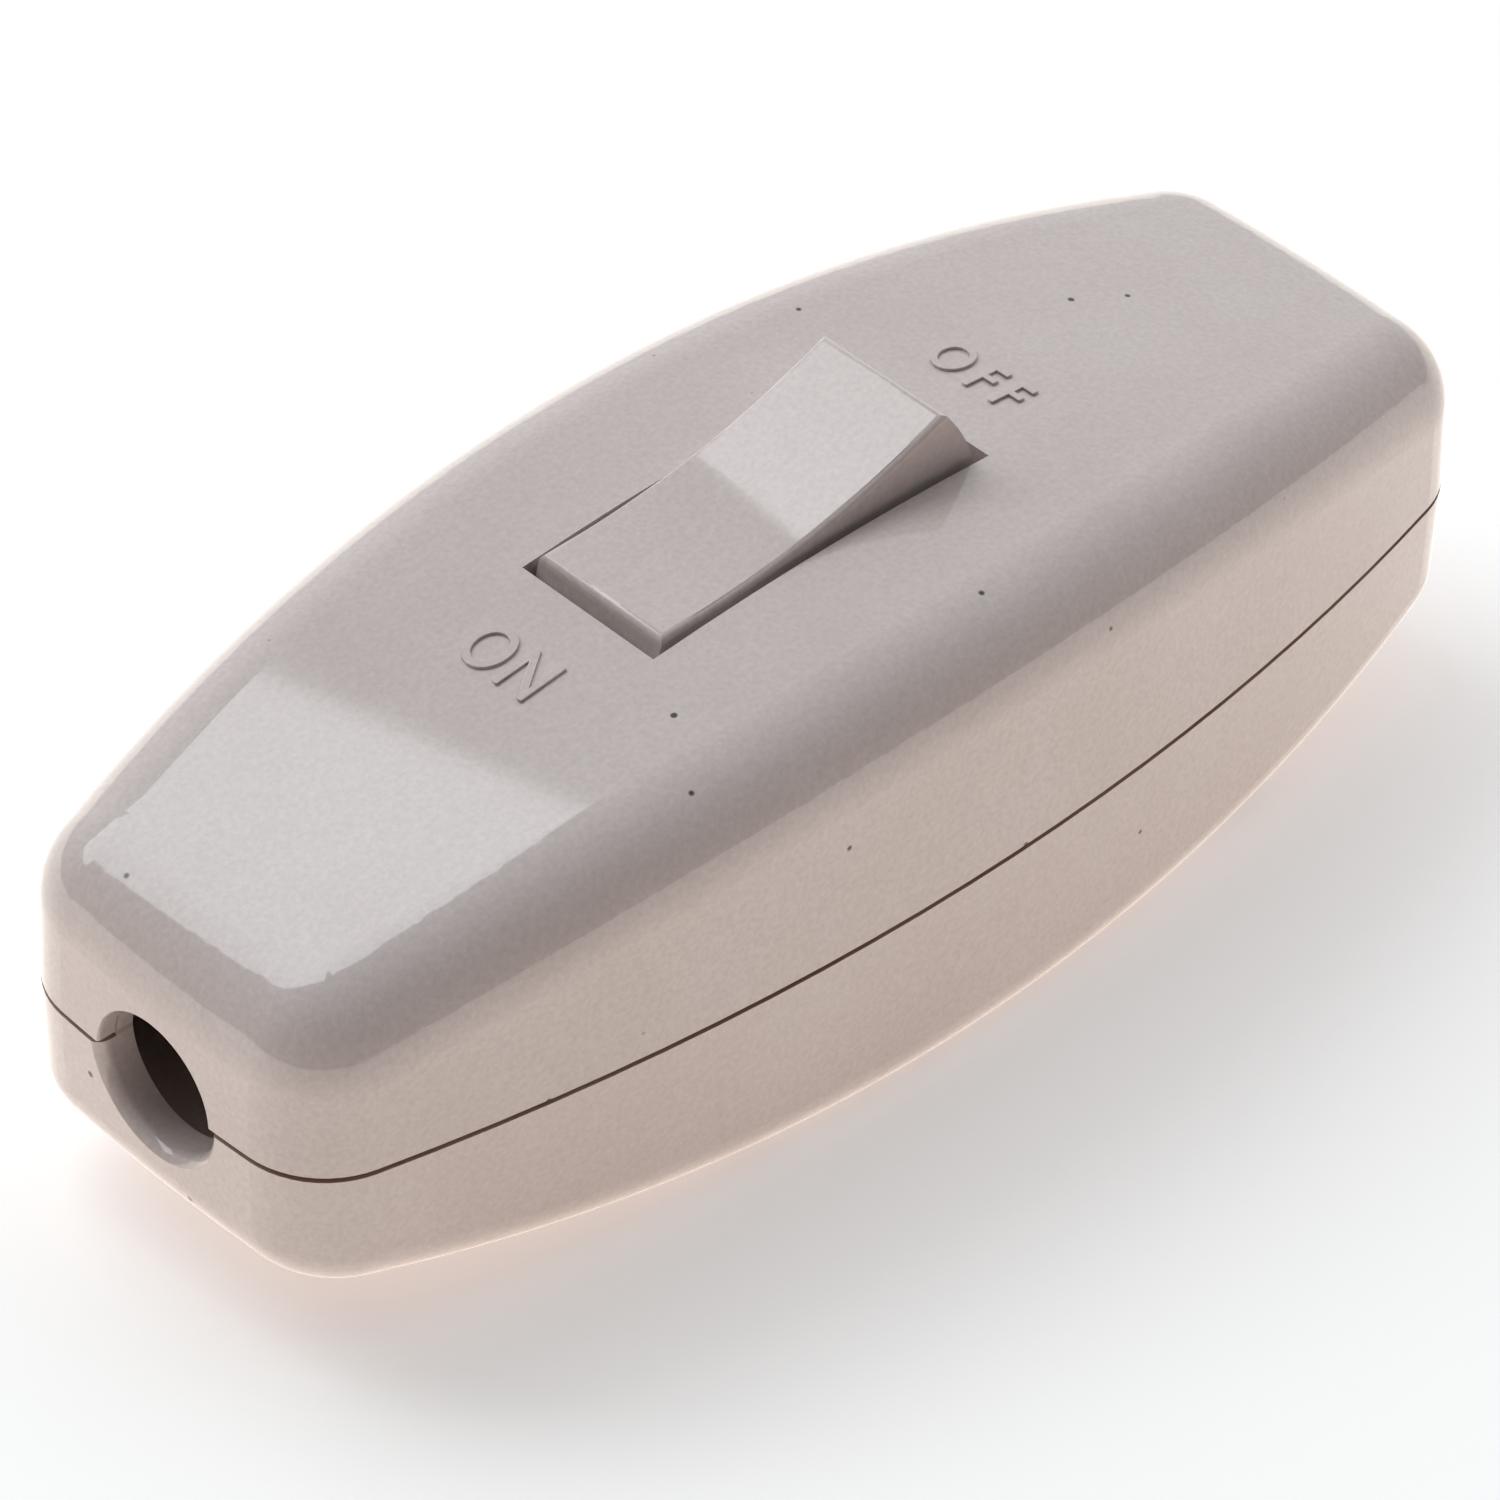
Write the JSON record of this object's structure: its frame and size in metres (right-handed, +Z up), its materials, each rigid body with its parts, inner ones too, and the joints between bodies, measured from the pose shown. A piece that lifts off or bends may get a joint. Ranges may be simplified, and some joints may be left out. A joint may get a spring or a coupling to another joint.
{
  "type": "inline cord switch",
  "caption": "Inline cord switch: a crowned split housing with a tilting rocker in its top and a round cord entry at each end.",
  "frame": {"origin": "middle of the flat of the belly, on the surface that the switch lies on", "axes": "+X along the cord towards the OFF end, +Y across, +Z up through the rocker"},
  "size_m": [0.0808, 0.032, 0.0302],
  "materials": {
    "housing_plastic": "moulded grey-beige plastic, semi-gloss with a fine texture",
    "rocker_plastic": "moulded grey-beige plastic, smoother than the housing",
    "inner_plastic": "moulded pale insulating plastic",
    "spring_steel": "drawn spring wire",
    "contact_brass": "stamped and drilled brass",
    "contact_silver": "silver contact rivet",
    "screw_steel": "zinc-plated steel"
  },
  "bodies": {
    "housing": {"cover": "housing_plastic", "base": "housing_plastic", "fixed_contact": "contact_silver", "load_terminal": "contact_brass", "line_terminal": "contact_brass", "neutral_link": "contact_brass", "earth_link": "contact_brass", "terminal_screws": "screw_steel", "cord_clamp_on_end": "inner_plastic", "cord_clamp_off_end": "inner_plastic", "cord_clamp_screws": "screw_steel", "housing_screws": "screw_steel"},
    "rocker": {"rocker": "rocker_plastic", "plunger_spring": "spring_steel"},
    "plunger": {"plunger": "inner_plastic"},
    "contact_lever": {"contact_lever": "contact_brass", "moving_contact": "contact_silver"}
  },
  "joints": [
    {"name": "rocker_tilt", "type": "hinge", "parent": "housing", "child": "rocker", "pos_m": [-0.001, 0, 0.02255], "axis": [0, 1, 0], "range_deg": [0, 21]},
    {"name": "lever_tilt", "type": "hinge", "parent": "housing", "child": "contact_lever", "pos_m": [-0.001, 0, 0.00713], "axis": [0, 1, 0], "range_deg": [-24, 0]},
    {"name": "plunger_slide", "type": "slide", "parent": "rocker", "child": "plunger", "axis": [-0.1822, 0, 0.9833], "range_m": [0, 0.0008], "stiffness_N_per_m": 800, "springref_m": -0.002, "deforming": ["plunger_spring"]}
  ],
  "couplings": [
    {"joint": "lever_tilt", "follows": "rocker_tilt", "ratio": -1.1429}
  ]
}
